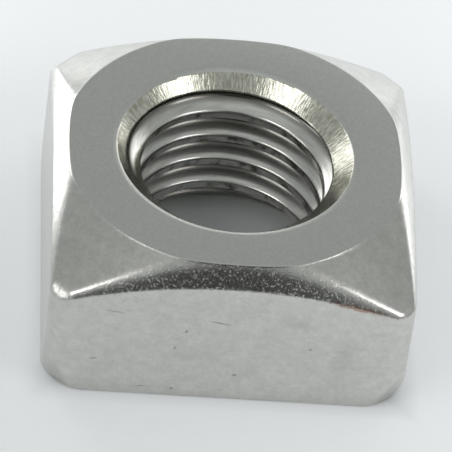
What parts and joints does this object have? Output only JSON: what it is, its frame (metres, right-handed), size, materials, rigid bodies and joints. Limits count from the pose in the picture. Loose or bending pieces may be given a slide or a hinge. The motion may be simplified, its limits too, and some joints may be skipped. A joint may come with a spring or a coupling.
{
  "type": "square nut",
  "caption": "Square stainless steel nut with a chamfered top, rolled top edges and a countersunk, threaded hole right through; it turns on a bolt or is held still in a channel.",
  "frame": {"origin": "on the flat bearing face, where the axis of the thread meets it", "axes": "+Z along the thread from the bearing face to the chamfered face; +X and +Y square to the flats"},
  "size_m": [0.017, 0.017, 0.008],
  "materials": {
    "steel": "bright stainless steel, satin from the forging die, turned on the top face and in the countersinks"
  },
  "bodies": {
    "root": {"square_nut": "steel"}
  },
  "joints": []
}
